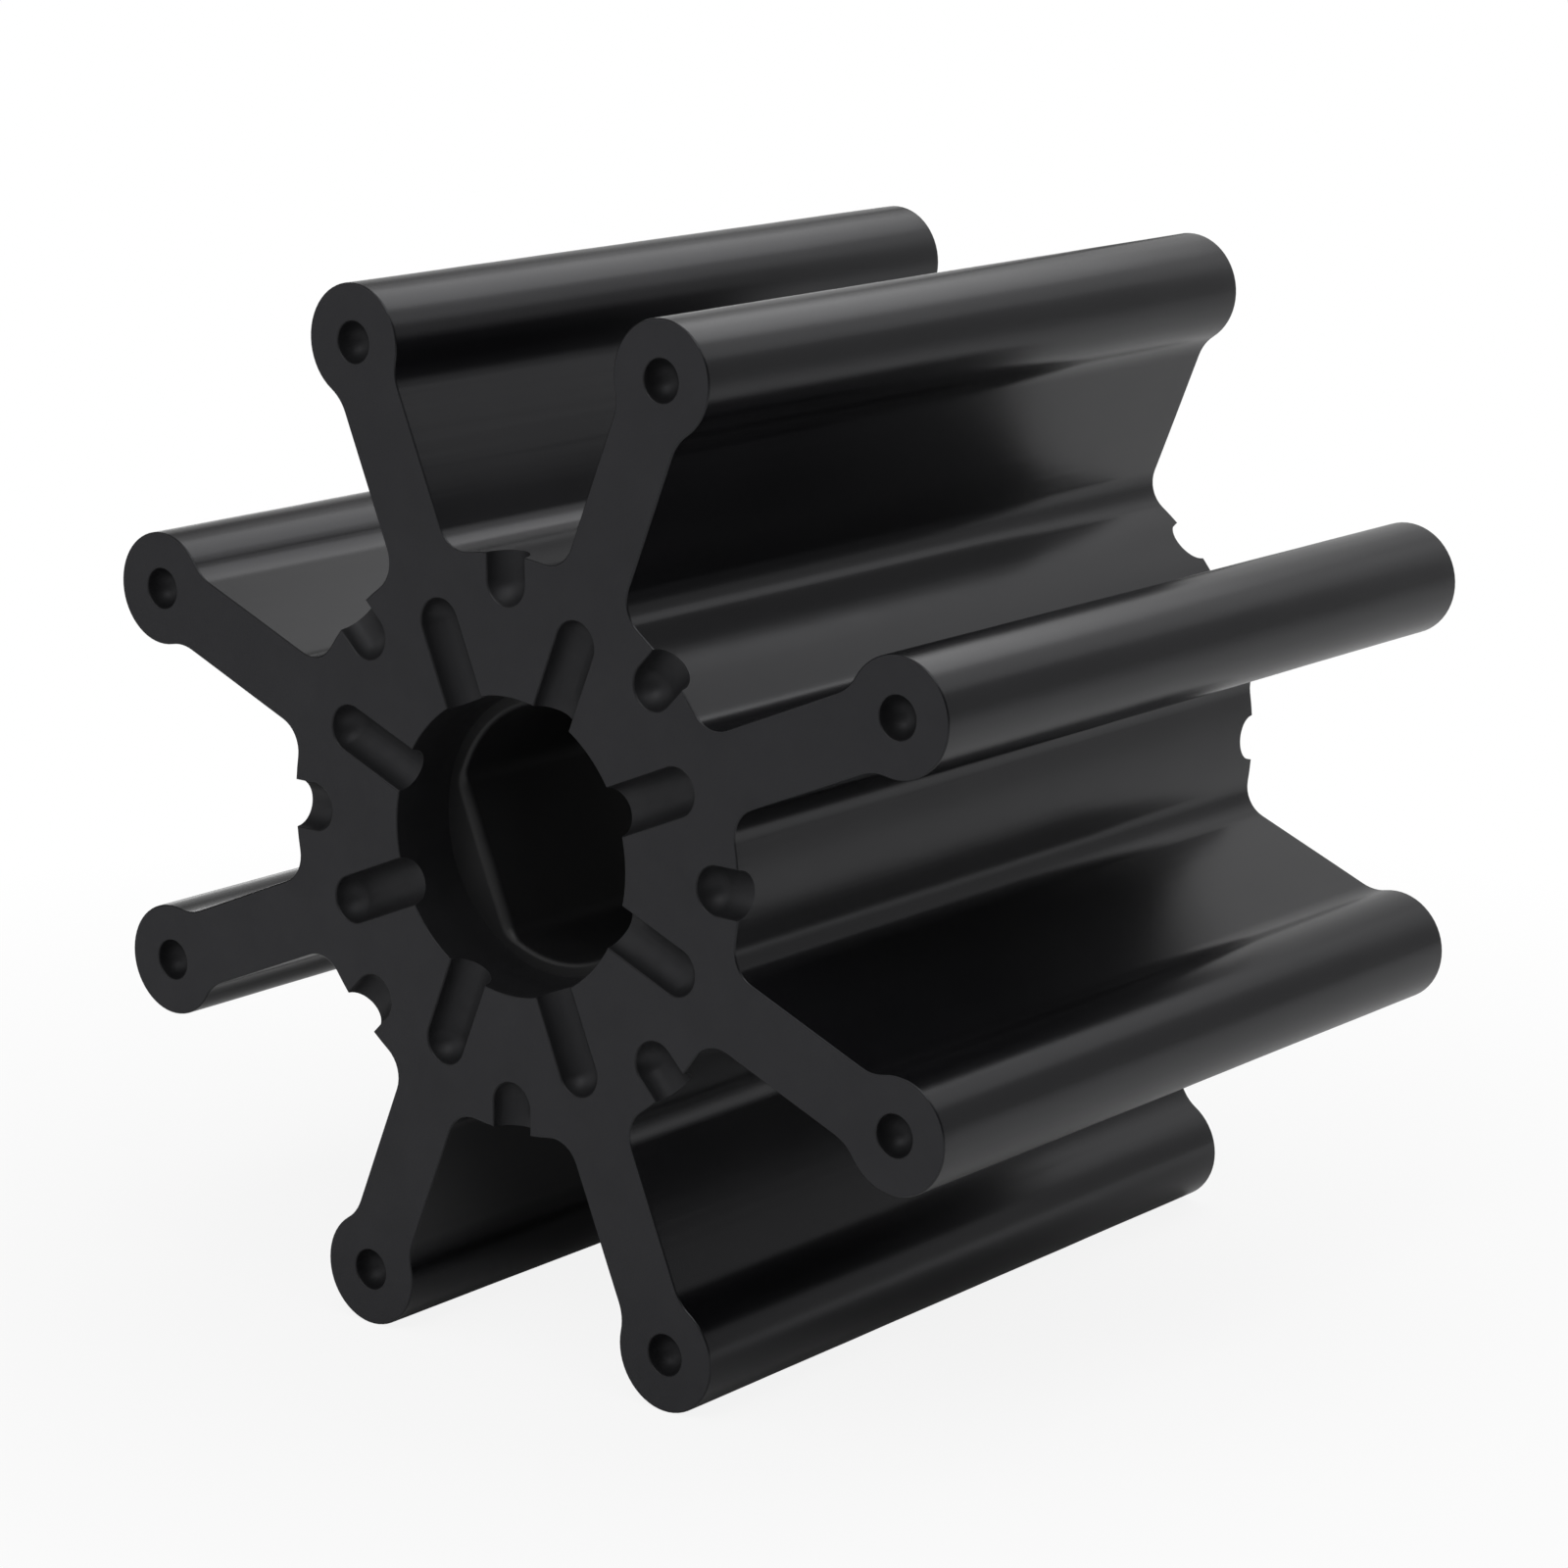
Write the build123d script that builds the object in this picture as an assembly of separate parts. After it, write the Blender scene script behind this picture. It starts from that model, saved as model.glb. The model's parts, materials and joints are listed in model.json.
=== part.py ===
from build123d import *
from math import cos, radians, sin, sqrt
import os

# Flexible impeller of a pump, in millimetres. The shaft axis is Y, the front face looks along -Y
# and Z is up. The origin is on the shaft axis, at half the width. Angles in the section go round
# the shaft from +X towards +Z, and the impeller stands on the two vanes that point down.

# Rubber body
vane_count = 8
impeller_radius = 42.3      # axis to the outside of a bead
body_width = 63.9           # front face to back face
hub_radius = 21.4
vane_thickness = 5.8
bead_radius = 4.3           # round bead along the tip of each vane
root_fillet = 2.4           # vane into hub
neck_fillet = 3.4           # vane into bead

# Drive insert, moulded into the hub
bore_radius = 9.525         # round part of the D-shaped bore, for a 19.05 mm shaft
flat_depth = 2.2            # how far the flat stands into the round bore
flat_angle = 202.5          # direction from the axis to the middle of the flat
bore_chamfer = 0.5
insert_wall = 3.6           # round part of the bore to the outside of the insert
insert_lip = 1.1            # ring of the insert that shows round its bore at each end

# Hollows in both end faces of the rubber
recess_depth = 5.1          # end face to the end of the insert
recess_flare = 0.4          # how much its mouth is wider than its floor, on the radius
groove_radius = 1.8         # half-round grooves, on the lines of the vanes
groove_end_wall = 2.7       # end of a groove to the outside of the hub
notch_radius = 1.8          # half-round notches, open into the gaps between the vanes
notch_length = 3.8          # from the outside of the hub inwards
dimple_radius = 1.55        # round-bottomed hole in the end of each bead
dimple_wall = 0.3           # straight part of that hole

# Sizes that follow
bead_circle = impeller_radius - bead_radius
half_thickness = vane_thickness / 2
insert_radius = bore_radius + insert_wall
insert_length = body_width - 2 * recess_depth
recess_radius = bore_radius + insert_lip
groove_end = hub_radius - groove_end_wall - groove_radius
notch_start = hub_radius - notch_length + notch_radius
vane_step = 360 / vane_count
vane_angles = [vane_step * (k + 0.5) for k in range(vane_count)]
gap_angles = [vane_step * k for k in range(vane_count)]

# The front face: x of this plane is +X, y is +Z, and z points out of the rubber
front = Plane(origin=(0, -body_width / 2, 0), x_dir=(1, 0, 0), z_dir=(0, -1, 0))


# Point at a distance and an angle from the axis of the section
def polar(radius, angle):
    return Vector(radius * cos(radians(angle)), radius * sin(radians(angle)))


# Arc of a circle, on its side that faces the chord
def fillet_arc(centre, radius, start, end):
    middle = centre + ((start + end) / 2 - centre).normalized() * radius
    return ThreePointArc(start, middle, end)


# Centres of the root and neck fillets, above a vane that lies along x
def root_centre():
    rise = half_thickness + root_fillet
    return Vector(sqrt((hub_radius + root_fillet) ** 2 - rise ** 2), rise)


def neck_centre():
    rise = half_thickness + neck_fillet
    return Vector(bead_circle - sqrt((bead_radius + neck_fillet) ** 2 - rise ** 2), rise)


# Where the root fillet leaves the hub, and where the neck fillet meets the bead
def hub_touch():
    return root_centre() * (hub_radius / (hub_radius + root_fillet))


def bead_touch():
    bead_centre = Vector(bead_circle, 0)
    return bead_centre + (neck_centre() - bead_centre) * (bead_radius / (bead_radius + neck_fillet))


# Both sides of one vane that lies along x, from its root on the hub round the bead and back
def vane_edges():
    root, neck, on_bead = root_centre(), neck_centre(), bead_touch()
    flank_start = Vector(root.X, half_thickness)
    flank_end = Vector(neck.X, half_thickness)
    side = [
        fillet_arc(root, root_fillet, hub_touch(), flank_start),
        Line(flank_start, flank_end),
        fillet_arc(neck, neck_fillet, flank_end, on_bead),
    ]
    bead_arc = ThreePointArc(on_bead, Vector(impeller_radius, 0), Vector(on_bead.X, -on_bead.Y))
    return side + [bead_arc] + [mirror(edge, about=Plane.XZ) for edge in side]


# Section of the rubber body: hub and vanes in one closed outline
def body_section():
    root_angle = Vector(1, 0).get_angle(hub_touch())
    edges = []
    for vane_angle in vane_angles:
        edges += [Rot(0, 0, vane_angle) * edge for edge in vane_edges()]
        gap_start = polar(hub_radius, vane_angle + root_angle)
        gap_middle = polar(hub_radius, vane_angle + vane_step / 2)
        gap_end = polar(hub_radius, vane_angle + vane_step - root_angle)
        edges.append(ThreePointArc(gap_start, gap_middle, gap_end))
    return make_face(edges)


# Round bar along x, half sunk in the front face, with a ball at one end
def ball_ended_bar(radius, start, end, ball_at):
    bar = Pos((start + end) / 2, 0, 0) * Rot(0, 90, 0) * Cylinder(radius, end - start)
    return bar + Pos(ball_at, 0, 0) * Sphere(radius)


# Round-bottomed hole in the end of the bead that lies along x
def dimple():
    straight = Cylinder(dimple_radius, 2 * dimple_wall)
    return Pos(bead_circle, 0, 0) * (straight + Pos(0, 0, -dimple_wall) * Sphere(dimple_radius))


# Everything that is hollowed out of the front face. The recess goes as far out of the face as
# into it, at the same slope.
def front_hollows():
    hollows = Cone(recess_radius, recess_radius + 2 * recess_flare, 2 * recess_depth)
    groove = ball_ended_bar(groove_radius, 0, groove_end, groove_end)
    for angle in vane_angles:
        hollows += Rot(0, 0, angle) * (groove + dimple())
    notch = ball_ended_bar(notch_radius, notch_start, hub_radius + root_fillet, notch_start)
    for angle in gap_angles:
        hollows += Rot(0, 0, angle) * notch
    return front * hollows


# Round bar along the shaft axis, centred on the origin
def shaft_bar(radius, length):
    return extrude(Plane.XZ * Circle(radius), amount=length / 2, both=True)


# Rubber body: hub, vanes and beads moulded in one piece round the insert
def rubber_body():
    body = extrude(Plane.XZ * body_section(), amount=body_width / 2, both=True)
    hollows = front_hollows()
    body -= hollows
    body -= mirror(hollows, about=Plane.XZ)
    body -= shaft_bar(insert_radius, insert_length)
    return body


# Section of the bore, a circle with one flat, grown outwards by an amount
def bore_section(growth):
    radius = bore_radius + growth
    flat_distance = bore_radius - flat_depth + growth
    beyond_flat = Pos(flat_distance + radius, 0) * Rectangle(2 * radius, 2 * radius)
    return Circle(radius) - Rot(0, 0, flat_angle) * beyond_flat


# Chamfered mouth of the bore, at the front end of the insert
def bore_mouth():
    end = Plane.XZ.offset(insert_length / 2)
    inside = Plane.XZ.offset(insert_length / 2 - bore_chamfer)
    return loft([end * bore_section(bore_chamfer), inside * bore_section(0)], ruled=True)


# Rigid insert with the bore that the shaft drives
def drive_insert():
    insert = shaft_bar(insert_radius, insert_length)
    insert -= extrude(Plane.XZ * bore_section(0), amount=insert_length, both=True)
    insert -= bore_mouth()
    insert -= mirror(bore_mouth(), about=Plane.XZ)
    return insert


os.makedirs("parts", exist_ok=True)
for node, solid in {"rubber_body": rubber_body(), "drive_insert": drive_insert()}.items():
    export_step(solid, f"parts/{node}.step")
    print(node, "volume", round(solid.volume), "mm3, solids", len(solid.solids()))
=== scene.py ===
import json
import math
import bpy
import bmesh
from mathutils import Matrix, Quaternion, Vector

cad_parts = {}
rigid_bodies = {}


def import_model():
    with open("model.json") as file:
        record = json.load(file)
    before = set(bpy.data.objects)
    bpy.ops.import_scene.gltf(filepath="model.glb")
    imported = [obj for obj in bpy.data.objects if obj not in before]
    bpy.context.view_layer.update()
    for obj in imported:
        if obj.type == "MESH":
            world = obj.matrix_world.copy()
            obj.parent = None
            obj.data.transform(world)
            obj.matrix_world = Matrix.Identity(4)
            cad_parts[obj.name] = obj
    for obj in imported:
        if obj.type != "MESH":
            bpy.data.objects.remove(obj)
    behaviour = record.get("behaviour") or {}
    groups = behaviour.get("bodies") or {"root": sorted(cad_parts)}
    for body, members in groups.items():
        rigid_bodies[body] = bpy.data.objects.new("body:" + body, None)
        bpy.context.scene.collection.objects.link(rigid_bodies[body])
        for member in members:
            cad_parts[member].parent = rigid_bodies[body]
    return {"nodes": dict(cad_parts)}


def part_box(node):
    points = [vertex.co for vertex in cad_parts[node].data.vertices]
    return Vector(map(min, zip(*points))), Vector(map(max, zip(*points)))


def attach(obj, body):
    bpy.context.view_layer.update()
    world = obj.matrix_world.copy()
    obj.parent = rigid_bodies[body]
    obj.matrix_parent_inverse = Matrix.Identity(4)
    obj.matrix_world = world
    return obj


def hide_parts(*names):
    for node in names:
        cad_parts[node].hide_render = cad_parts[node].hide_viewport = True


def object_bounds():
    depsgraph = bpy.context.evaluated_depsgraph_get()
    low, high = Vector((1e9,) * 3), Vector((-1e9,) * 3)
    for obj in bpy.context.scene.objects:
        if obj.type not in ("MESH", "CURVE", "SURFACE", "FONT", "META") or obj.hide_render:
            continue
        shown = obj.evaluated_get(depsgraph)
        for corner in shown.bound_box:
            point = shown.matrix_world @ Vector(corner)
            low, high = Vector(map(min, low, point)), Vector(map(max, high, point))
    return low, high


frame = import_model()
cadLow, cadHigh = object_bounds()
print("frame loaded:", sorted(frame["nodes"]))

mm = 0.001


# Small helpers for node trees, used by the geometry and by the materials

def addNode(tree, kind, inputs=None, **settings):
    node = tree.nodes.new(kind)
    for name, value in settings.items():
        setattr(node, name, value)
    for name, value in (inputs or {}).items():
        setInput(tree, node.inputs[name], value)
    return node


def setInput(tree, socket, value):
    # the value is a socket to link, a node whose first output is linked, or a plain value
    if isinstance(value, bpy.types.NodeSocket):
        tree.links.new(value, socket)
    elif isinstance(value, bpy.types.Node):
        tree.links.new(value.outputs[0], socket)
    else:
        socket.default_value = value


def calc(tree, operation, a, b=0.0, clamp=False):
    return addNode(tree, "ShaderNodeMath", {0: a, 1: b}, operation=operation, use_clamp=clamp).outputs[0]


def vectorCalc(tree, operation, a, b=(0.0, 0.0, 0.0)):
    return addNode(tree, "ShaderNodeVectorMath", {0: a, 1: b}, operation=operation).outputs[0]


def combine(tree, x=0.0, y=0.0, z=0.0):
    return addNode(tree, "ShaderNodeCombineXYZ", {"X": x, "Y": y, "Z": z}).outputs[0]


def coordinate(tree, kind, axis):
    # one coordinate of the position or of the normal
    return addNode(tree, "ShaderNodeSeparateXYZ", {0: addNode(tree, kind)}).outputs[axis]


def objectPlace(tree):
    return addNode(tree, "ShaderNodeTexCoord").outputs["Object"]


def remap(tree, value, fromMin, fromMax, toMin, toMax):
    ends = {"From Min": fromMin, "From Max": fromMax, "To Min": toMin, "To Max": toMax}
    return addNode(tree, "ShaderNodeMapRange", {"Value": value, **ends}).outputs["Result"]


def seededNoise(tree, place, scale, seed, detail, roughness):
    return addNode(tree, "ShaderNodeTexNoise", {"Vector": place, "W": seed, "Scale": scale,
                   "Detail": detail, "Roughness": roughness}, noise_dimensions="4D")


def addSockets(tree, inputs, outputs):
    kinds = {"float": "NodeSocketFloat", "int": "NodeSocketInt", "geometry": "NodeSocketGeometry",
             "material": "NodeSocketMaterial"}
    for name, kind in inputs.items():
        tree.interface.new_socket(name, in_out="INPUT", socket_type=kinds[kind])
    for name, kind in outputs.items():
        tree.interface.new_socket(name, in_out="OUTPUT", socket_type=kinds[kind])
    return tree.nodes.new("NodeGroupInput").outputs


def putOut(tree, name, value):
    # the last node of a tree
    out = tree.nodes.new("NodeGroupOutput")
    setInput(tree, out.inputs[name], value)
    return tree


# Shader groups

def buildGrain():
    # fine grain, the same size in all directions
    tree = bpy.data.node_groups.new("grain", "ShaderNodeTree")
    given = addSockets(tree, {"Size": "float", "Seed": "float"}, {"Height": "float"})
    scale = calc(tree, "DIVIDE", 1.0, given["Size"])
    noise = seededNoise(tree, objectPlace(tree), scale, given["Seed"], detail=3.0, roughness=0.6)
    return putOut(tree, "Height", noise)


def buildMottle():
    # soft cloudy patches that change a colour or a roughness over the surface
    tree = bpy.data.node_groups.new("mottle", "ShaderNodeTree")
    given = addSockets(tree, {"Size": "float", "Seed": "float", "Low": "float", "High": "float"},
                       {"Value": "float"})
    scale = calc(tree, "DIVIDE", 1.0, given["Size"])
    noise = seededNoise(tree, objectPlace(tree), scale, given["Seed"], detail=4.0, roughness=0.55)
    usualLow, usualHigh = 0.3, 0.7    # nearly all of the noise lies between these
    spread = remap(tree, noise, usualLow, usualHigh, given["Low"], given["High"])
    return putOut(tree, "Value", spread)


def buildStreaks():
    # long faint lines along the vanes, as a machined mould leaves them
    tree = bpy.data.node_groups.new("streaks", "ShaderNodeTree")
    given = addSockets(tree, {"Spacing": "float", "Length": "float", "Seed": "float"}, {"Value": "float"})
    across = calc(tree, "DIVIDE", 1.0, given["Spacing"])
    along = calc(tree, "DIVIDE", 1.0, given["Length"])
    drawn = vectorCalc(tree, "MULTIPLY", objectPlace(tree), combine(tree, across, along, across))
    noise = seededNoise(tree, drawn, scale=1.0, seed=given["Seed"], detail=2.0, roughness=0.5)
    return putOut(tree, "Value", noise)


grainGroup = buildGrain()
mottleGroup = buildMottle()
streakGroup = buildStreaks()


def addGroup(tree, group, **inputs):
    node = tree.nodes.new("ShaderNodeGroup")
    node.node_tree = group
    for name, value in inputs.items():
        setInput(tree, node.inputs[name], value)
    return node.outputs[0]


def newMaterial(name):
    material = bpy.data.materials.new(name)
    material.use_nodes = True
    tree = material.node_tree
    shader = next(node for node in tree.nodes if node.type == "BSDF_PRINCIPLED")
    return material, tree, shader


# Finishes of the rubber and of the insert
rubberTint = (0.95, 0.955, 1.0, 1.0)    # what rubber mirrors looks slightly blue

# moulded rubber: the smooth, glossy skin of the vanes and the hub
mouldedShadeLook = {
    # the colour is darker than the end faces': in part the glossy moulded finish, in part painted shade
    # that keeps the flanks between the vanes dark
    "color": (0.0039, 0.0039, 0.0046, 1.0), "paleColor": (0.0058, 0.0058, 0.0068, 1.0),
    "roughness": (0.235, 0.265), "ior": 1.5, "tint": rubberTint,
    "patchSize": 14 * mm, "glossPatchSize": 7 * mm, "grainSize": 0.12 * mm, "grainDepth": 0.0015 * mm,
    "streakSpacing": 0.9 * mm, "streakLength": 90 * mm, "streakDepth": 0.010 * mm,
    "seeds": {"patch": 2.0, "gloss": 7.0, "grain": 5.0, "streak": 3.0},
}

# trimmed rubber: the flat end faces, matt and finely grained
trimmedLook = {
    "color": (0.0160, 0.0160, 0.0180, 1.0), "paleColor": (0.0200, 0.0200, 0.0224, 1.0),
    "roughness": (0.52, 0.62), "ior": 1.5, "tint": rubberTint,
    "patchSize": 9 * mm, "glossPatchSize": 3 * mm, "grainSize": 0.16 * mm, "grainDepth": 0.015 * mm,
    "seeds": {"patch": 11.0, "gloss": 13.0, "grain": 17.0},
}

# the rubber inside the hollows of the end faces, duller than the outer skin
hollowShadeLook = {
    # the colour is darker than that of the end faces the hollows are cut into: painted shade in the hollows
    "color": (0.009, 0.009, 0.0098, 1.0), "paleColor": (0.012, 0.012, 0.0130, 1.0),
    "roughness": (0.46, 0.56), "ior": 1.5, "tint": rubberTint,
    "patchSize": 4 * mm, "glossPatchSize": 4 * mm / 3, "grainSize": 0.2 * mm, "grainDepth": 0.006 * mm,
    "seeds": {"patch": 31.0, "gloss": 33.0, "grain": 37.0},
}

# black plastic of the drive insert
plasticLook = {
    "color": (0.0105, 0.0105, 0.0114, 1.0), "paleColor": (0.0136, 0.0136, 0.0147, 1.0),
    "roughness": (0.42, 0.52), "ior": 1.5, "tint": (1.0, 1.0, 1.0, 1.0),
    "patchSize": 5 * mm, "glossPatchSize": 5 * mm, "grainSize": 0.10 * mm, "grainDepth": 0.003 * mm,
    "seeds": {"patch": 19.0, "gloss": 23.0, "grain": 29.0},
}


def blackFinish(name, look):
    # colour and roughness drift in soft patches; the grain lies over the streaks, where there are any
    material, tree, shader = newMaterial(name)
    seeds = look["seeds"]
    patch = addGroup(tree, mottleGroup, Size=look["patchSize"], Seed=seeds["patch"], Low=0.0, High=1.0)
    color = addNode(tree, "ShaderNodeMix", {"Factor": patch, "A": look["color"], "B": look["paleColor"]},
                    data_type="RGBA")
    smoothest, roughest = look["roughness"]
    roughness = addGroup(tree, mottleGroup, Size=look["glossPatchSize"], Seed=seeds["gloss"],
                         Low=smoothest, High=roughest)
    grain = addGroup(tree, grainGroup, Size=look["grainSize"], Seed=seeds["grain"])
    bump = addNode(tree, "ShaderNodeBump", {"Height": grain, "Distance": look["grainDepth"]})
    if "streak" in seeds:
        streaks = addGroup(tree, streakGroup, Spacing=look["streakSpacing"], Length=look["streakLength"],
                           Seed=seeds["streak"])
        below = addNode(tree, "ShaderNodeBump", {"Height": streaks, "Distance": look["streakDepth"]})
        setInput(tree, bump.inputs["Normal"], below)
    setInput(tree, shader.inputs["Base Color"], color.outputs["Result"])
    setInput(tree, shader.inputs["Roughness"], roughness)
    setInput(tree, shader.inputs["Normal"], bump)
    setInput(tree, shader.inputs["IOR"], look["ior"])
    setInput(tree, shader.inputs["Specular Tint"], look["tint"])
    return material


rubberSkinShaded = blackFinish("mouldedRubberShaded", mouldedShadeLook)
rubberFace = blackFinish("trimmedRubber", trimmedLook)
rubberHollowShade = blackFinish("hollowRubberShade", hollowShadeLook)
blackPlastic = blackFinish("insertPlastic", plasticLook)
print("materials built")


def newObject(name, data):
    made = bpy.data.objects.new(name, data)
    bpy.context.scene.collection.objects.link(made)
    return made


# Rubber body. The base mesh is the outline of one vane with half a gap on each side; the nodes
# repeat it round the axis, run it along the width and hollow out both end faces.
bodySizes = {
    "vaneCount": 8,
    "hubRadius": 21.4 * mm, "beadCircle": 38.0 * mm, "beadRadius": 4.3 * mm, "vaneThickness": 5.8 * mm,
    "rootFillet": 2.4 * mm, "neckFillet": 3.4 * mm,
    "recessRadius": 10.625 * mm, "recessFlare": 0.4 * mm, "recessDepth": 5.1 * mm,
    "insertRadius": 13.125 * mm,
    "grooveRadius": 1.8 * mm, "grooveEnd": 16.9 * mm,
    "notchRadius": 1.8 * mm, "notchStart": 19.4 * mm,
    "dimpleRadius": 1.55 * mm, "dimpleWall": 0.3 * mm,
    "edgeRound": 0.12 * mm,
    "waveDepth": 0.03 * mm, "waveSize": 9 * mm, "waveSeed": 4.0,
    "lengthSteps": 36,
}

# how finely the body is drawn
edgeSteps = 3
mouthPoints = edgeSteps + 2    # a rounded mouth, and the top of the cutter above it
ballSteps = 10
arcSteps = {"bead": 40, "neck": 6, "flank": 8, "root": 8, "gap": 4}
segments = {"recess": 128, "insert": 128, "groove": 42, "notch": 42, "dimple": 40}

# small amounts that keep its cuts and its shading clean
mouthLift = 0.003 * mm        # the rounded mouth of a cutter ends this far above the face
topRise = 0.5 * mm            # and its top stands this much higher
recessOverlap = 0.05 * mm     # how far the recess reaches into the room of the insert
notchOverrun = 2 * mm         # how far a notch runs out beyond the hub
poleShare = 0.02              # the tip of a ball ends in a flat with this share of its radius
outlineMerge = 0.002 * mm     # points this close become one, in the outline
cutMerge = 0.004 * mm         # and in the body after the cuts
creaseAngle = 40.0            # degrees; only sharper bends stay crisp
flatFacing = 0.98             # an end face looks along the axis at least this much
endTolerance = 0.01 * mm      # and lies this close to the end


def arcPoints(centre, radius, start, end, steps):
    angles = [start + (end - start) * k / steps for k in range(steps + 1)]
    return [centre + radius * Vector((math.cos(a), math.sin(a))) for a in angles]


def vaneOutline(sizes):
    # upper half from the middle of the gap to the tip, then mirrored
    half = sizes["vaneThickness"] / 2
    rootRise, neckRise = half + sizes["rootFillet"], half + sizes["neckFillet"]
    rootReach = sizes["hubRadius"] + sizes["rootFillet"]
    root = Vector((math.sqrt(rootReach ** 2 - rootRise ** 2), rootRise))
    neckReach = sizes["beadRadius"] + sizes["neckFillet"]
    neck = Vector((sizes["beadCircle"] - math.sqrt(neckReach ** 2 - neckRise ** 2), neckRise))
    bead = Vector((sizes["beadCircle"], 0.0))
    gapMiddle = math.pi / sizes["vaneCount"]
    rootAngle = math.atan2(root.y, root.x)
    beadAngle = math.atan2(neck.y - bead.y, neck.x - bead.x)
    axis = Vector((0.0, 0.0))
    upper = arcPoints(axis, sizes["hubRadius"], gapMiddle, rootAngle, arcSteps["gap"])
    upper += arcPoints(root, sizes["rootFillet"], rootAngle + math.pi, 1.5 * math.pi, arcSteps["root"])[1:]
    flank = neck.x - root.x
    upper += [Vector((root.x + flank * k / arcSteps["flank"], half)) for k in range(1, arcSteps["flank"])]
    upper += arcPoints(neck, sizes["neckFillet"], -math.pi / 2, beadAngle - math.pi, arcSteps["neck"])
    upper += arcPoints(bead, sizes["beadRadius"], beadAngle, 0.0, arcSteps["bead"] // 2)[1:]
    return upper + [Vector((point.x, -point.y)) for point in reversed(upper[:-1])]


def outlineObject(name, points):
    mesh = bpy.data.meshes.new(name)
    mesh.from_pydata([(p.x, p.y, 0.0) for p in points], [(k, k + 1) for k in range(len(points) - 1)], [])
    return newObject(name, mesh)


def uprightRail(tree, count, heights):
    # a straight curve along z, from a field that gives the height at each index
    line = addNode(tree, "GeometryNodeCurvePrimitiveLine", {"End": (0.0, 0.0, 1.0)})
    rail = addNode(tree, "GeometryNodeResampleCurve", {"Curve": line, "Count": count})
    place = combine(tree, z=heights)
    return addNode(tree, "GeometryNodeSetPosition", {"Geometry": rail, "Position": place})


def turnedShape(tree, heights, reaches, count, sides):
    # a closed form turned about z, from fields that give the height and the reach at each index
    circle = addNode(tree, "GeometryNodeCurvePrimitiveCircle", {"Resolution": sides, "Radius": 1.0})
    shape = addNode(tree, "GeometryNodeCurveToMesh", {
        "Curve": uprightRail(tree, count, heights), "Profile Curve": circle.outputs["Curve"],
        "Scale": reaches, "Fill Caps": True})
    return addNode(tree, "GeometryNodeStoreNamedAttribute", {"Geometry": shape, "Name": "hollow",
                   "Value": 1.0}, data_type="FLOAT", domain="FACE")


def pick(tree, choice, ifTrue, ifFalse):
    return addNode(tree, "GeometryNodeSwitch", {"Switch": choice, "True": ifTrue, "False": ifFalse},
                   input_type="FLOAT")


def roundedMouth(tree, index, first, radius, edgeRound):
    # height and reach of a mouth whose edge is rounded, from the index of its first point
    share = calc(tree, "DIVIDE", calc(tree, "SUBTRACT", index, first), edgeSteps, clamp=True)
    turn = calc(tree, "MULTIPLY", share, math.pi / 2)
    rise = calc(tree, "MULTIPLY", calc(tree, "SUBTRACT", calc(tree, "SINE", turn), 1.0), edgeRound)
    spread = calc(tree, "MULTIPLY", calc(tree, "SUBTRACT", 1.0, calc(tree, "COSINE", turn)), edgeRound)
    isTop = calc(tree, "GREATER_THAN", index, first + edgeSteps + 0.5)
    above = calc(tree, "ADD", calc(tree, "MULTIPLY", isTop, topRise), mouthLift)
    return calc(tree, "ADD", rise, above), calc(tree, "ADD", spread, radius)


def roundBottomedPit(tree, radius, wall, edgeRound, sides):
    # a pit with a ball-shaped bottom; its ball is centred below the face by the length of its wall
    index = addNode(tree, "GeometryNodeInputIndex")
    mouthHeight, mouthReach = roundedMouth(tree, index, ballSteps + 1, radius, edgeRound)
    lift = calc(tree, "DIVIDE", calc(tree, "SUBTRACT", edgeRound, wall), radius, clamp=True)
    fullTurn = calc(tree, "ARCCOSINE", lift)
    turn = calc(tree, "MULTIPLY", calc(tree, "DIVIDE", index, ballSteps, clamp=True), fullTurn)
    ballHeight = calc(tree, "MULTIPLY", calc(tree, "COSINE", turn), calc(tree, "MULTIPLY", radius, -1.0))
    ballHeight = calc(tree, "SUBTRACT", ballHeight, wall)
    ballReach = calc(tree, "MULTIPLY", calc(tree, "MAXIMUM", calc(tree, "SINE", turn), poleShare), radius)
    onBall = calc(tree, "LESS_THAN", index, ballSteps + 0.5)
    heights = pick(tree, onBall, ballHeight, mouthHeight)
    reaches = pick(tree, onBall, ballReach, mouthReach)
    return turnedShape(tree, heights, reaches, ballSteps + 1 + mouthPoints, sides)


def flaredRecess(tree, radius, flare, depth, edgeRound):
    # it reaches a little into the room of the insert, so that no skin is left between the two
    index = addNode(tree, "GeometryNodeInputIndex")
    mouthHeight, mouthReach = roundedMouth(tree, index, 1, calc(tree, "ADD", radius, flare), edgeRound)
    onFloor = calc(tree, "LESS_THAN", index, 0.5)
    heights = pick(tree, onFloor, calc(tree, "SUBTRACT", -recessOverlap, depth), mouthHeight)
    reaches = pick(tree, onFloor, radius, mouthReach)
    return turnedShape(tree, heights, reaches, 1 + mouthPoints, segments["recess"])


def drawnOut(tree, pit, length, start):
    # the outer half of a round pit moved outwards makes a groove with two round ends
    outer = calc(tree, "GREATER_THAN", coordinate(tree, "GeometryNodeInputPosition", "X"), 0.0)
    long = addNode(tree, "GeometryNodeSetPosition", {"Geometry": pit, "Selection": outer,
                   "Offset": combine(tree, x=length)})
    return addNode(tree, "GeometryNodeTransform", {"Geometry": long, "Translation": combine(tree, x=start)})


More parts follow.
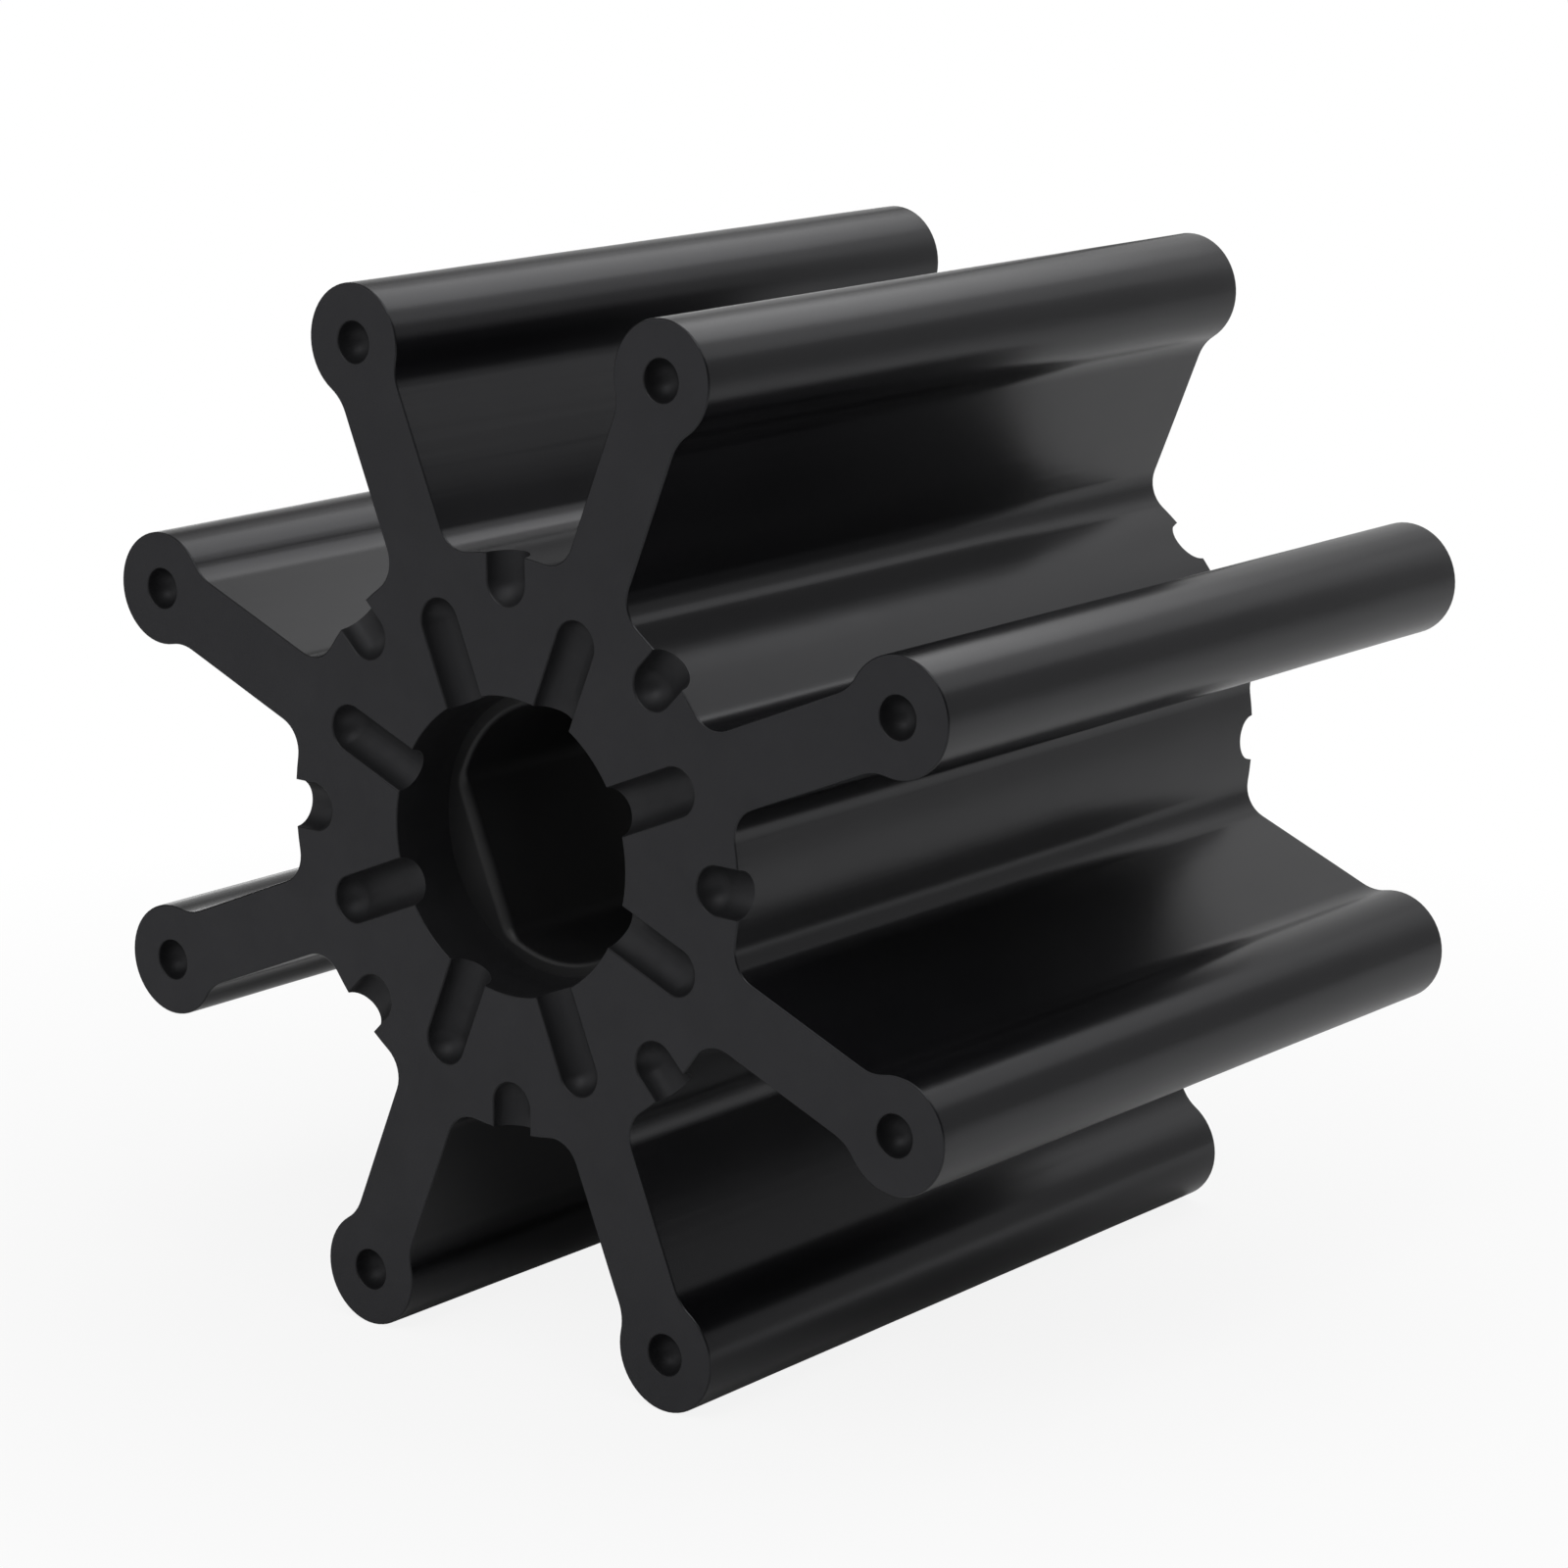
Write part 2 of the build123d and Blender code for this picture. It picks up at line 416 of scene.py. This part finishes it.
def aroundAxis(tree, geometry, count, firstShare):
    # instances of geometry at equal angles, the first one turned by a share of the step
    points = addNode(tree, "GeometryNodePoints", {"Count": count})
    step = calc(tree, "DIVIDE", 2 * math.pi, count)
    number = calc(tree, "ADD", addNode(tree, "GeometryNodeInputIndex"), firstShare)
    angles = combine(tree, z=calc(tree, "MULTIPLY", number, step))
    turn = addNode(tree, "FunctionNodeEulerToRotation", {0: angles})
    return addNode(tree, "GeometryNodeInstanceOnPoints", {"Points": points, "Instance": geometry,
                   "Rotation": turn}).outputs[0]


def buildBodyTree():
    tree = bpy.data.node_groups.new("impellerBody", "GeometryNodeTree")
    given = addSockets(tree, {
        "Outline": "geometry", "Vane Count": "int", "Width": "float", "Length Steps": "int",
        "Edge Round": "float", "Recess Radius": "float", "Recess Flare": "float", "Recess Depth": "float",
        "Insert Radius": "float", "Groove Radius": "float", "Groove End": "float",
        "Notch Radius": "float", "Notch Start": "float", "Hub Radius": "float", "Bead Circle": "float",
        "Dimple Radius": "float", "Dimple Wall": "float", "Wave Depth": "float", "Wave Size": "float",
        "Wave Seed": "float", "Skin": "material", "Hollows": "material", "End Faces": "material",
    }, {"Body": "geometry"})
    count = given["Vane Count"]
    edgeRound = given["Edge Round"]
    halfWidth = calc(tree, "MULTIPLY", given["Width"], 0.5)
    straightEnd = calc(tree, "SUBTRACT", halfWidth, edgeRound)

    # outline of the whole section
    ring = aroundAxis(tree, given["Outline"], count, 0.5)
    ring = addNode(tree, "GeometryNodeRealizeInstances", {"Geometry": ring})
    ring = addNode(tree, "GeometryNodeMergeByDistance", {"Geometry": ring, "Distance": outlineMerge})
    section = addNode(tree, "GeometryNodeMeshToCurve", {"Mesh": ring})

    # stations along the width, closer together where the end edges are rounded
    steps = given["Length Steps"]
    index = addNode(tree, "GeometryNodeInputIndex")
    lastIndex = calc(tree, "ADD", steps, 2 * edgeSteps)
    fromEnd = calc(tree, "MINIMUM", index, calc(tree, "SUBTRACT", lastIndex, index))
    endShare = calc(tree, "SUBTRACT", 1.0, calc(tree, "DIVIDE", fromEnd, edgeSteps, clamp=True))
    endRise = calc(tree, "SINE", calc(tree, "MULTIPLY", endShare, math.pi / 2))
    beyond = calc(tree, "MULTIPLY", endRise, edgeRound)
    side = calc(tree, "SIGN", calc(tree, "SUBTRACT", index, calc(tree, "MULTIPLY", lastIndex, 0.5)))
    along = calc(tree, "DIVIDE", calc(tree, "SUBTRACT", index, edgeSteps), steps, clamp=True)
    along = calc(tree, "SUBTRACT", calc(tree, "MULTIPLY", along, 2.0), 1.0)
    along = calc(tree, "MULTIPLY", along, straightEnd)
    heights = calc(tree, "ADD", along, calc(tree, "MULTIPLY", beyond, side))
    rail = uprightRail(tree, calc(tree, "ADD", lastIndex, 1.0), heights)
    solid = addNode(tree, "GeometryNodeCurveToMesh", {"Curve": rail, "Profile Curve": section,
                    "Fill Caps": True})
    solid = addNode(tree, "GeometryNodeFlipFaces", {"Mesh": solid})

    # the outline draws in at both ends, which rounds their edges
    fromMiddle = calc(tree, "ABSOLUTE", coordinate(tree, "GeometryNodeInputPosition", "Z"))
    past = calc(tree, "DIVIDE", calc(tree, "SUBTRACT", fromMiddle, straightEnd), edgeRound, clamp=True)
    left = calc(tree, "SQRT", calc(tree, "SUBTRACT", 1.0, calc(tree, "MULTIPLY", past, past)))
    inset = calc(tree, "MULTIPLY", calc(tree, "SUBTRACT", left, 1.0), edgeRound)
    outward = vectorCalc(tree, "MULTIPLY", addNode(tree, "GeometryNodeInputNormal"), (1.0, 1.0, 0.0))
    outward = vectorCalc(tree, "NORMALIZE", outward)
    drawIn = addNode(tree, "ShaderNodeVectorMath", {0: outward, "Scale": inset}, operation="SCALE")
    solid = addNode(tree, "GeometryNodeSetPosition", {"Geometry": solid, "Offset": drawIn})

    # hollows of one end face, whose plane is z = 0 here
    recess = flaredRecess(tree, given["Recess Radius"], given["Recess Flare"], given["Recess Depth"],
                          edgeRound)
    groovePit = roundBottomedPit(tree, given["Groove Radius"], 0.0, edgeRound, segments["groove"])
    groove = drawnOut(tree, groovePit, given["Groove End"], 0.0)
    notchPit = roundBottomedPit(tree, given["Notch Radius"], 0.0, edgeRound, segments["notch"])
    notchEnd = calc(tree, "ADD", given["Hub Radius"], notchOverrun)
    notchLength = calc(tree, "SUBTRACT", notchEnd, given["Notch Start"])
    notch = drawnOut(tree, notchPit, notchLength, given["Notch Start"])
    dimplePit = roundBottomedPit(tree, given["Dimple Radius"], given["Dimple Wall"], edgeRound,
                                 segments["dimple"])
    dimple = addNode(tree, "GeometryNodeTransform", {"Geometry": dimplePit,
                     "Translation": combine(tree, x=given["Bead Circle"])})
    hollows = tree.nodes.new("GeometryNodeJoinGeometry")
    for hollow in (recess, aroundAxis(tree, groove, count, 0.5), aroundAxis(tree, dimple, count, 0.5),
                   aroundAxis(tree, notch, count, 0.0)):
        setInput(tree, hollows.inputs[0], hollow)

    # the same hollows at both ends, and the room of the insert between them
    atFront = addNode(tree, "GeometryNodeTransform", {"Geometry": hollows,
                      "Translation": combine(tree, z=halfWidth)})
    atBack = addNode(tree, "GeometryNodeTransform", {"Geometry": hollows, "Rotation": (math.pi, 0.0, 0.0),
                     "Translation": combine(tree, z=calc(tree, "MULTIPLY", halfWidth, -1.0))})
    bothRecesses = calc(tree, "MULTIPLY", given["Recess Depth"], 2.0)
    room = addNode(tree, "GeometryNodeMeshCylinder", {
        "Vertices": segments["insert"], "Radius": given["Insert Radius"],
        "Depth": calc(tree, "SUBTRACT", given["Width"], bothRecesses)})
    cut = addNode(tree, "GeometryNodeMeshBoolean", {"Mesh 1": solid}, operation="DIFFERENCE",
                  solver="MANIFOLD")
    for cutter in (atFront, atBack, room):
        setInput(tree, cut.inputs["Mesh 2"], cutter)
    cut = addNode(tree, "GeometryNodeMergeByDistance", {"Geometry": cut, "Distance": cutMerge})

    # the rubber gives a little, so the flanks aren't dead straight; the end faces stay flat. The noise
    # swings by half a unit each way, so twice the depth gives the full wave.
    waveScale = calc(tree, "DIVIDE", 1.0, given["Wave Size"])
    wave = seededNoise(tree, addNode(tree, "GeometryNodeInputPosition"), waveScale, given["Wave Seed"],
                       detail=1.0, roughness=0.5)
    centred = vectorCalc(tree, "SUBTRACT", wave.outputs["Color"], (0.5, 0.5, 0.5))
    waveReach = calc(tree, "MULTIPLY", given["Wave Depth"], 2.0)
    offset = vectorCalc(tree, "MULTIPLY", centred, combine(tree, waveReach, waveReach))
    moved = addNode(tree, "GeometryNodeSetPosition", {"Geometry": cut, "Offset": offset})
    upright = addNode(tree, "GeometryNodeTransform", {"Geometry": moved,
                      "Rotation": (math.pi / 2, 0.0, 0.0)})

    # crisp edges only where two surfaces really meet
    bend = addNode(tree, "GeometryNodeInputMeshEdgeAngle").outputs["Unsigned Angle"]
    soft = calc(tree, "LESS_THAN", bend, math.radians(creaseAngle))
    smooth = addNode(tree, "GeometryNodeSetShadeSmooth", {"Geometry": upright, "Shade Smooth": True},
                     domain="FACE")
    smooth = addNode(tree, "GeometryNodeSetShadeSmooth", {"Geometry": smooth, "Shade Smooth": soft},
                     domain="EDGE")

    # the skin all over, then the lining of the hollows, whose darker colour is painted shade, and the flat
    # end faces
    plain = addNode(tree, "GeometryNodeRealizeInstances", {"Geometry": smooth})
    skin = addNode(tree, "GeometryNodeSetMaterial", {"Geometry": plain, "Material": given["Skin"]})
    marked = addNode(tree, "GeometryNodeInputNamedAttribute", {"Name": "hollow"}, data_type="FLOAT")
    isHollow = calc(tree, "GREATER_THAN", marked.outputs["Attribute"], 0.5)
    lined = addNode(tree, "GeometryNodeSetMaterial", {"Geometry": skin, "Selection": isHollow,
                    "Material": given["Hollows"]})
    bare = addNode(tree, "GeometryNodeRemoveAttribute", {"Geometry": lined, "Name": "hollow"})
    facing = calc(tree, "ABSOLUTE", coordinate(tree, "GeometryNodeInputNormal", "Y"))
    isFlat = calc(tree, "GREATER_THAN", facing, flatFacing)
    alongAxis = calc(tree, "ABSOLUTE", coordinate(tree, "GeometryNodeInputPosition", "Y"))
    atEnd = calc(tree, "GREATER_THAN", alongAxis, calc(tree, "SUBTRACT", halfWidth, endTolerance))
    done = addNode(tree, "GeometryNodeSetMaterial", {"Geometry": bare, "Material": given["End Faces"],
                   "Selection": calc(tree, "MULTIPLY", isFlat, atEnd)})
    return putOut(tree, "Body", done)


def setModifierInputs(modifier, tree, values):
    sockets = {item.name: item.identifier for item in tree.interface.items_tree if item.in_out == "INPUT"}
    for name, value in values.items():
        modifier[sockets[name]] = value


def applied(obj, name):
    # normals that follow the large faces, then the evaluated shape as a plain mesh on a new object
    weighting = obj.modifiers.new("normals", "WEIGHTED_NORMAL")
    weighting.keep_sharp = True
    evaluated = obj.evaluated_get(bpy.context.evaluated_depsgraph_get())
    mesh = bpy.data.meshes.new_from_object(evaluated)
    mesh.name = name
    made = newObject(name, mesh)
    base = obj.data
    bpy.data.objects.remove(obj)
    bpy.data.meshes.remove(base)
    return made


def dropEmptySlots(obj):
    # the boolean leaves an empty first slot; every face already has a material of its own
    used = [material for material in obj.data.materials if material]
    names = [material.name if material else None for material in obj.data.materials]
    faces = [names[face.material_index] for face in obj.data.polygons]
    obj.data.materials.clear()
    for material in used:
        obj.data.materials.append(material)
    order = {material.name: k for k, material in enumerate(used)}
    obj.data.polygons.foreach_set("material_index", [order[name] for name in faces])


def makeRubberBody():
    sizes = bodySizes
    low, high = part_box("rubber_body")
    tree = buildBodyTree()
    base = outlineObject("rubberOutline", vaneOutline(sizes))
    shaping = base.modifiers.new("shape", "NODES")
    shaping.node_group = tree
    setModifierInputs(shaping, tree, {
        "Vane Count": sizes["vaneCount"], "Width": high.y - low.y, "Length Steps": sizes["lengthSteps"],
        "Edge Round": sizes["edgeRound"],
        "Recess Radius": sizes["recessRadius"], "Recess Flare": sizes["recessFlare"],
        "Recess Depth": sizes["recessDepth"], "Insert Radius": sizes["insertRadius"],
        "Groove Radius": sizes["grooveRadius"], "Groove End": sizes["grooveEnd"],
        "Notch Radius": sizes["notchRadius"], "Notch Start": sizes["notchStart"],
        "Hub Radius": sizes["hubRadius"], "Bead Circle": sizes["beadCircle"],
        "Dimple Radius": sizes["dimpleRadius"], "Dimple Wall": sizes["dimpleWall"],
        "Wave Depth": sizes["waveDepth"], "Wave Size": sizes["waveSize"], "Wave Seed": sizes["waveSeed"],
        "Skin": rubberSkinShaded, "Hollows": rubberHollowShade, "End Faces": rubberFace,
    })
    body = applied(base, "rubberBody")
    dropEmptySlots(body)
    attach(body, "root")
    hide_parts("rubber_body")
    return body


rubberBody = makeRubberBody()
print("rubber body:", len(rubberBody.data.polygons), "faces")


# Drive insert: a sleeve whose bore has one flat. Its mouths are rounded, the most along the flat.
insertSizes = {
    "outerRadius": bodySizes["insertRadius"], "boreRadius": 9.525 * mm,
    "flatDistance": 7.325 * mm, "flatAngle": 202.5,
    "cornerRound": 1.8 * mm, "mouthRound": 0.4 * mm, "flatMouthRound": 0.85 * mm,
    "flatSteps": 12, "cornerSteps": 8, "roundSteps": 96, "mouthSteps": 7, "creaseAngle": 30.0,
}


def boreSection(sizes):
    # points round the bore, each with the direction that leads straight out of its wall and the
    # radius that rounds its mouth there
    radius, flatDistance, cornerRound = sizes["boreRadius"], sizes["flatDistance"], sizes["cornerRound"]
    cornerX = flatDistance - cornerRound
    cornerZ = math.sqrt((radius - cornerRound) ** 2 - cornerX ** 2)
    cornerTurn = math.atan2(cornerZ, cornerX)
    points = []
    for k in range(sizes["flatSteps"]):
        points.append((flatDistance, cornerZ * (2 * k / sizes["flatSteps"] - 1), 0.0))
    arcs = [
        (cornerX, cornerZ, cornerRound, 0.0, cornerTurn, sizes["cornerSteps"]),
        (0.0, 0.0, radius, cornerTurn, 2 * math.pi - cornerTurn, sizes["roundSteps"]),
        (cornerX, -cornerZ, cornerRound, -cornerTurn, 0.0, sizes["cornerSteps"]),
    ]
    for centreX, centreZ, arcRadius, first, last, steps in arcs:
        for k in range(steps):
            turn = first + (last - first) * k / steps
            x, z = centreX + arcRadius * math.cos(turn), centreZ + arcRadius * math.sin(turn)
            points.append((x, z, turn))
    flatTurn = Matrix.Rotation(math.radians(sizes["flatAngle"]), 2)
    section = []
    for x, z, turn in points:
        onFlat = max(0.0, 1.0 - min(abs(turn), 2 * math.pi - turn) / cornerTurn)
        rounding = sizes["mouthRound"] + (sizes["flatMouthRound"] - sizes["mouthRound"]) * onFlat
        outward = Vector((math.cos(turn), math.sin(turn)))
        section.append((flatTurn @ Vector((x, z)), flatTurn @ outward, rounding))
    return section


def boreLoop(section, turn, end, inward):
    # one loop of the rounded mouth; at turn 0 it lies on the end of the insert
    loop = []
    for point, outward, rounding in section:
        grown = point + outward * rounding * (1 - math.sin(turn))
        loop.append((grown.x, end + inward * rounding * (1 - math.cos(turn)), grown.y))
    return loop


def roundLoop(section, radius, y):
    rim = [point.normalized() * radius for point, outward, rounding in section]
    return [(point.x, y, point.y) for point in rim]


def makeDriveInsert():
    sizes = insertSizes
    low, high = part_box("drive_insert")
    section = boreSection(sizes)
    turns = [math.pi / 2 * k / sizes["mouthSteps"] for k in range(sizes["mouthSteps"] + 1)]
    loops = [roundLoop(section, sizes["outerRadius"], low.y)]
    loops += [boreLoop(section, turn, low.y, 1.0) for turn in turns]
    loops += [boreLoop(section, turn, high.y, -1.0) for turn in reversed(turns)]
    loops += [roundLoop(section, sizes["outerRadius"], high.y)]
    shape = bmesh.new()
    rings = [[shape.verts.new(point) for point in loop] for loop in loops]
    for first, second in zip(rings, rings[1:] + rings[:1]):
        for k in range(len(first)):
            after = (k + 1) % len(first)
            shape.faces.new((first[k], first[after], second[after], second[k]))
    bmesh.ops.recalc_face_normals(shape, faces=shape.faces)
    mesh = bpy.data.meshes.new("insertSleeve")
    shape.to_mesh(mesh)
    shape.free()
    mesh.materials.append(blackPlastic)
    mesh.shade_smooth()
    mesh.set_sharp_from_angle(angle=math.radians(sizes["creaseAngle"]))
    made = applied(newObject("insertSleeve", mesh), "driveInsert")
    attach(made, "root")
    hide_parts("drive_insert")
    return made


driveInsert = makeDriveInsert()
print("drive insert:", len(driveInsert.data.polygons), "faces")


# Floor, lights and camera
# The floor is a white sheet under the part. Camera rays see it white all over; near the part a share of
# what they see is the real sheet, which carries the shadow.
floorLook = {"size": 8.0, "color": (0.93, 0.93, 0.93, 1.0), "shadowShare": 0.12, "inReflections": 0.03,
             "shadowNear": 0.06, "shadowFar": 0.15}
white = (1.0, 1.0, 1.0, 1.0)


def makeFloor():
    look = floorLook
    half = look["size"] / 2
    mesh = bpy.data.meshes.new("floor")
    corners = [(-half, -half), (half, -half), (half, half), (-half, half)]
    mesh.from_pydata([(x, y, cadLow.z) for x, y in corners], [], [(0, 1, 2, 3)])
    floor = newObject("floor", mesh)
    material, tree, shader = newMaterial("paleFloor")
    tree.nodes.remove(shader)
    paper = addNode(tree, "ShaderNodeBsdfDiffuse", {"Color": look["color"]})
    glow = addNode(tree, "ShaderNodeEmission", {"Color": white, "Strength": 1.0})
    path = tree.nodes.new("ShaderNodeLightPath")
    away = addNode(tree, "ShaderNodeVectorMath", {0: objectPlace(tree)}, operation="LENGTH")
    whiteness = remap(tree, away.outputs["Value"], look["shadowNear"], look["shadowFar"],
                      1.0 - look["shadowShare"], 1.0)
    seen = calc(tree, "MULTIPLY", path.outputs["Is Camera Ray"], whiteness)
    mirrored = calc(tree, "MAXIMUM", path.outputs["Is Glossy Ray"], path.outputs["Is Transmission Ray"])
    share = calc(tree, "ADD", seen, calc(tree, "MULTIPLY", mirrored, look["inReflections"]))
    mixed = addNode(tree, "ShaderNodeMixShader", {0: share, 1: paper, 2: glow})
    setInput(tree, tree.nodes["Material Output"].inputs["Surface"], mixed)
    mesh.materials.append(material)


# a small light tent: soft panels close to the part, each with the brightness of its surface
lamps = {
    "topPanel": {"place": (0.05, 0.22, 0.21), "aim": (0.05, 0.22, 0.0), "size": (0.42, 0.28),
                 "level": 0.40},
    "hotSpot": {"place": (-0.01, 0.18, 0.209), "aim": (-0.01, 0.18, 0.0), "size": (0.17, 0.17),
                "level": 1.20},
    "topRight": {"place": (0.17, 0.27, 0.2085), "aim": (0.17, 0.27, 0.0), "size": (0.20, 0.18),
                 "level": 0.34},
    "topLeft": {"place": (-0.15, 0.26, 0.2085), "aim": (-0.15, 0.26, 0.0), "size": (0.14, 0.20),
                "level": 0.25},
    "frontTop": {"place": (0.11, -0.03, 0.21), "aim": (0.11, -0.03, 0.0), "size": (0.30, 0.22),
                 "level": 1.02},
    "backPanel": {"place": (0.0, 0.36, 0.085), "aim": (0.0, 0.0, 0.085), "size": (0.42, 0.25),
                  "level": 0.51},
    "backRight": {"place": (0.27, 0.31, 0.085), "aim": (0.0, 0.04, 0.085), "size": (0.18, 0.25),
                  "level": 0.22},
    "backLeft": {"place": (-0.34, 0.34, 0.14), "aim": (0.0, 0.0, 0.05), "size": (0.20, 0.18),
                 "level": 0.5},
    "lowLeft": {"place": (-0.36, 0.33, 0.01), "aim": (0.0, 0.0, 0.01), "size": (0.24, 0.09),
                "level": 1.5},
    "frontFill": {"place": (-0.20, -0.45, 0.24), "aim": (0.0, 0.0, 0.0), "size": (0.6, 0.5),
                  "level": 0.62},
    "frontKey": {"place": (0.12, -0.32, 0.36), "aim": (0.0, 0.0, 0.0), "size": (0.16, 0.16),
                 "level": 3.3},
}
worldLevel = 0.12    # what the part sees between the lamps; the camera sees plain white

# the viewing angle of the photograph: 39 degrees round from the front face, 13.4 degrees up
cameraView = {"place": (0.22124, -0.27351, 0.08279), "aim": (0.00246, -0.00361, -0.00015), "roll": 0.13,
              "lens": 108.0, "sensor": 36.0, "clip": (0.01, 50.0)}


def pointAt(obj, place, aim, roll=0.0):
    direction = Vector(aim) - Vector(place)
    turn = Quaternion((0.0, 0.0, 1.0), math.radians(roll))
    obj.location = place
    obj.rotation_mode = "QUATERNION"
    obj.rotation_quaternion = direction.to_track_quat("-Z", "Y") @ turn


def makeLamp(name, spec):
    data = bpy.data.lights.new(name, "AREA")
    data.shape = "RECTANGLE"
    data.size, data.size_y = spec["size"]
    data.energy = math.pi * data.size * data.size_y * spec["level"]
    lamp = newObject(name, data)
    lamp.visible_camera = False
    pointAt(lamp, spec["place"], spec["aim"])


def makeWorld():
    world = bpy.data.worlds.new("studio")
    bpy.context.scene.world = world
    world.use_nodes = True
    tree = world.node_tree
    tree.nodes.clear()
    path = tree.nodes.new("ShaderNodeLightPath")
    level = remap(tree, path.outputs["Is Camera Ray"], 0.0, 1.0, worldLevel, 1.0)
    sky = addNode(tree, "ShaderNodeBackground", {"Color": white, "Strength": level})
    addNode(tree, "ShaderNodeOutputWorld", {"Surface": sky})


def makeCamera():
    view = cameraView
    data = bpy.data.cameras.new("camera")
    data.sensor_width = view["sensor"]
    data.lens = view["lens"]
    data.clip_start, data.clip_end = view["clip"]
    camera = newObject("camera", data)
    pointAt(camera, view["place"], view["aim"], view["roll"])
    bpy.context.scene.camera = camera


makeFloor()
for lampName, lampSpec in lamps.items():
    makeLamp(lampName, lampSpec)
makeWorld()
makeCamera()
bpy.context.scene.view_settings.view_transform = "Standard"
print("floor, lights and camera in place")
